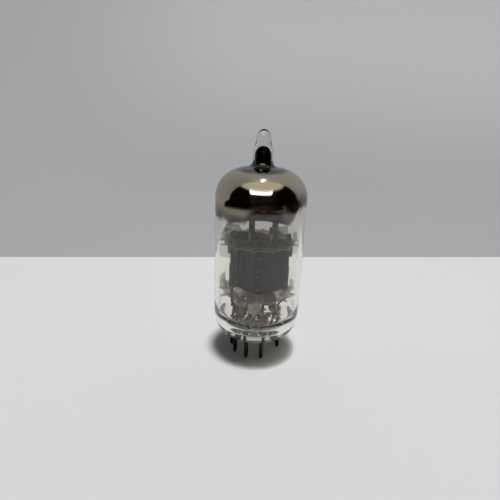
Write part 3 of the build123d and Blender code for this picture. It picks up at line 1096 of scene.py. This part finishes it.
@dataclass
class LeadWork:
    """The wires, strips and plate between the glass button and the lower mica."""

    stub: float = 0.3 * MM
    strip: float = 0.05 * MM
    strip_width: float = 0.38 * MM
    strip_sway: float = 0.9 * MM
    thread: float = 0.11 * MM
    thread_rise: float = 0.8 * MM
    thread_sway: float = 1.3 * MM
    pin_top: float = 8.6 * MM
    knee: float = 11.2 * MM
    knee_sway: float = 0.4 * MM
    tabs: int = 12
    tab_reach: Pair = (1.2 * MM, 3.6 * MM)
    tab_rise: Pair = (-0.6 * MM, 3.6 * MM)
    tab_widths: tuple[float, ...] = (0.0, 0.3 * MM, 0.5 * MM)
    tab_wire: float = 0.12 * MM
    tab_sway: float = 0.6 * MM
    gather: float = 0.78
    lowest: float = 9.1 * MM
    highest: float = 16.2 * MM
    seam_bottom: float = 9.5 * MM
    seam_rise: float = 3.5 * MM
    seam_reach: float = 6.6 * MM
    wall_reach: float = 8.6 * MM
    seed: int = 41

    def routes(self) -> list[Lead]:
        """Lists the connections of the tube."""
        pins = {
            "lead_anode_right": (1, Finishes.lead),
            "lead_grid_right": (2, Finishes.lead_brown),
            "lead_cathode_right": (3, Finishes.lead_dark),
            "lead_heater_right": (4, Finishes.lead_gold),
            "lead_heater_left": (5, Finishes.lead),
            "lead_anode_left": (6, Finishes.lead_dark),
            "lead_grid_left": (7, Finishes.lead_brown),
            "lead_cathode_left": (8, Finishes.lead_gold),
            "lead_screen": (9, Finishes.lead_brown),
        }
        return [Lead(node, pin, foot_of(node), finish) for node, (pin, finish) in pins.items()]

    def kept_in(self, place: Vector) -> Vector:
        """Moves a place clear of the glass, its thick seam and the lower mica."""
        height = min(max(place.z, self.lowest), self.highest)
        opening = min(max((height - self.seam_bottom) / self.seam_rise, 0.0), 1.0)
        limit = self.seam_reach + opening * (self.wall_reach - self.seam_reach)
        inward = min(limit / max(math.hypot(place.x, place.y), MM), 1.0)
        return Vector((place.x * inward, place.y * inward, height))

    def wander(
        self, chance: random.Random, start: Vector, end: Vector, turns: int, sway: float
    ) -> list[Point]:
        """Gives a crooked route between two places.

        Args:
            chance: Source of random numbers.
            start: First place.
            end: Last place.
            turns: Number of bends between them.
            sway: How far each bend strays.

        Returns:
            The route.
        """
        route = [tuple(start)]
        for n in range(1, turns + 1):
            stray = Vector([chance.uniform(-sway, sway) for _ in range(3)])
            route.append(tuple(self.kept_in(start.lerp(end, n / (turns + 1)) + stray)))
        return route + [tuple(end)]

    def connection(self, lead: Lead, chance: random.Random) -> bpy.types.Object:
        """Bends one lead: a stub on the pin, a strip up to its electrode, and loose welded tabs."""
        base = pin_centre(lead.pin, self.pin_top)
        knee = pin_centre(lead.pin, self.knee)
        foot = Vector(lead.foot)
        sway = self.knee_sway
        knee += Vector((chance.uniform(-sway, sway), chance.uniform(-sway, sway), 0.0))
        neck = base + Vector((0.0, 0.0, self.thread_rise))
        strip_route = self.wander(chance, knee, foot, 3, self.strip_sway)
        thread_route = self.wander(chance, neck, foot, 4, self.thread_sway)
        parts = [
            wire("stub", [tuple(base), tuple(base.lerp(knee, 0.5)), tuple(knee)], self.stub),
            wire("strip", strip_route, self.strip, self.strip_width, 1),
            wire("thread", thread_route, self.thread),
        ]
        for n in range(self.tabs):
            root = base.lerp(knee, chance.uniform(0.2, 1.0))
            heading = chance.uniform(0.0, math.tau)
            reach = chance.uniform(*self.tab_reach)
            rise = chance.uniform(*self.tab_rise)
            tip = root + Vector((math.cos(heading) * reach, math.sin(heading) * reach, rise))
            tip = self.kept_in(Vector((tip.x * self.gather, tip.y * self.gather, tip.z)))
            width = chance.choice(self.tab_widths)
            thick = self.strip if width else self.tab_wire
            route = self.wander(chance, root, tip, 2, self.tab_sway)
            parts.append(wire(f"tab_{n}", route, thick, width, 1))
        return joined(parts, f"{lead.node}_piece")

    def build(self) -> None:
        """Bends the leads and fits the plate."""
        chance = random.Random(self.seed)
        for lead in self.routes():
            fit(self.connection(lead, chance), lead.finish, "lead_nickel", lead.node)
        refit("heater_link", Finishes.lead, "lead_nickel", 0.0)
        refit("lower_shield", Finishes.shield, "nickel")


# --------------------------------------------------------------------------- the room


@dataclass
class Studio:
    """Camera, table, wall and soft light."""

    eye: Point = (1.76 * MM, -86.45 * MM, 56.68 * MM)
    pitch: float = math.radians(19.18)
    yaw: float = math.radians(-2.56)
    roll: float = math.radians(2.275)
    lens: float = 27.2
    sensor: float = 36.0
    wall_middle: Point = (-2.2 * MM, 67.5 * MM, 0.0)
    wall_turn: float = math.radians(9.1)
    table_size: float = 1.6
    table_front: float = 0.5
    wall_height: float = 0.55
    lamp_place: Point = (0.032, -0.026, 1.2)
    lamp_size: float = 0.086
    lamp_power: float = 12.0
    lamp_colour: Colour = tone(252, 253, 255)
    onlooker_width: Pair = (-0.42, 0.56)
    window_width: Pair = (-0.42, 0.42)
    window_height: Pair = (0.60, 0.79)
    daylight: Colour = (5.0, 4.8, 4.4, 1.0)
    dimming: float = 0.985

    def place_camera(self) -> None:
        """Sets the camera up."""
        ahead = Vector((
            math.sin(self.yaw) * math.cos(self.pitch),
            math.cos(self.yaw) * math.cos(self.pitch),
            -math.sin(self.pitch),
        ))
        level = Vector((math.cos(self.yaw), -math.sin(self.yaw), 0.0))
        rise = level.cross(ahead)
        right = math.cos(self.roll) * level + math.sin(self.roll) * rise
        up = math.cos(self.roll) * rise - math.sin(self.roll) * level
        bpy.ops.object.camera_add(location=self.eye)
        camera = bpy.context.object
        camera.name = "studio_camera"
        turn = Matrix((right, up, -ahead)).transposed()
        camera.rotation_euler = turn.to_euler()
        camera.data.lens = self.lens
        camera.data.sensor_width = self.sensor
        camera.data.clip_start = MM
        bpy.context.scene.camera = camera

    def place_planes(self) -> None:
        """Lays the table and stands the wall behind it."""
        deselect()
        middle = (0.0, self.table_size / 4 - self.table_front, 0.0)
        bpy.ops.mesh.primitive_plane_add(size=1.0, location=middle)
        table = named("table_top")
        table.scale = (self.table_size, self.table_size / 2, 1.0)
        settle(table)
        table.data.materials.append(material_of(Finishes.table))
        middle = Vector(self.wall_middle) + Vector((0.0, 0.0, self.wall_height / 2))
        bpy.ops.mesh.primitive_plane_add(
            size=1.0, location=middle, rotation=(math.pi / 2, 0.0, self.wall_turn)
        )
        wall = named("back_wall")
        wall.scale = (self.table_size, self.wall_height, 1.0)
        settle(wall)
        wall.data.materials.append(material_of(Finishes.wall))

    def hang_lamp(self) -> None:
        """Hangs the one soft lamp over the tube and turns it to the tube's foot."""
        bpy.ops.object.light_add(type="AREA", location=self.lamp_place)
        lamp = bpy.context.object
        lamp.name = "ceiling_lamp"
        lamp.data.shape = "SQUARE"
        lamp.data.size = self.lamp_size
        lamp.data.energy = self.lamp_power
        lamp.data.color = self.lamp_colour[:3]
        lamp.rotation_euler = (-Vector(self.lamp_place)).to_track_quat("-Z", "Y").to_euler()
        lamp.visible_transmission = False

    def paint_world(self) -> None:
        """Makes the room's light: pale above and beside, dark where the onlooker stands."""
        world = bpy.data.worlds.new("room")
        world.use_nodes = True
        bpy.context.scene.world = world
        graph = Graph(world.node_tree)
        direction = graph.node("ShaderNodeTexCoord", output="Generated")
        across, along, height = graph.axes(direction)
        ceiling = graph.mix(height.step(0.0, 0.9), tone(154, 152, 150), tone(232, 226, 212))
        ahead = 0.0 - along
        unlit = ahead.step(-0.84, -0.72) * height.band(-0.9, 0.80, 0.05)
        onlooker = across.band(*self.onlooker_width, 0.05) * ahead.step(0.0, 0.2)
        dark = graph.mix(onlooker, tone(10, 10, 9), tone(38, 34, 35))
        room = graph.mix(unlit, ceiling, dark)
        opening = across.band(*self.window_width, 0.02) * height.band(*self.window_height, 0.02)
        room = graph.mix(opening * ahead.step(0.1, 0.2), room, self.daylight)
        scattered = graph.node("ShaderNodeLightPath", output="Diffuse Depth")
        is_glossy = graph.node("ShaderNodeLightPath", output="Is Glossy Ray") * (1.0 - scattered)
        is_camera = graph.node("ShaderNodeLightPath", output="Is Camera Ray")
        ambient = graph.mix(self.dimming, ceiling, BLACK)
        lit = graph.mix(is_glossy, ambient, room)
        shown = graph.mix(is_camera, lit, tone(176, 176, 178))
        sky = graph.node("ShaderNodeBackground", {}, {"Color": shown, "Strength": 1.0})
        graph.node("ShaderNodeOutputWorld", {}, {"Surface": sky})

    def build(self) -> None:
        """Sets up the whole studio."""
        scene = bpy.context.scene
        scene.view_settings.view_transform = "Standard"
        self.place_camera()
        self.place_planes()
        self.hang_lamp()
        self.paint_world()


def main() -> None:
    """Builds the studio and the tube, piece by piece."""
    logging.basicConfig(level=logging.INFO, format="%(message)s")
    Studio().build()
    glass = Envelope()
    glass.build()
    GetterMirror(glass).build()
    BasePins().build()
    Micas().build()
    Cage().build()
    GetterCup().build()
    LeadWork().build()


if __name__ == "__main__":
    main()
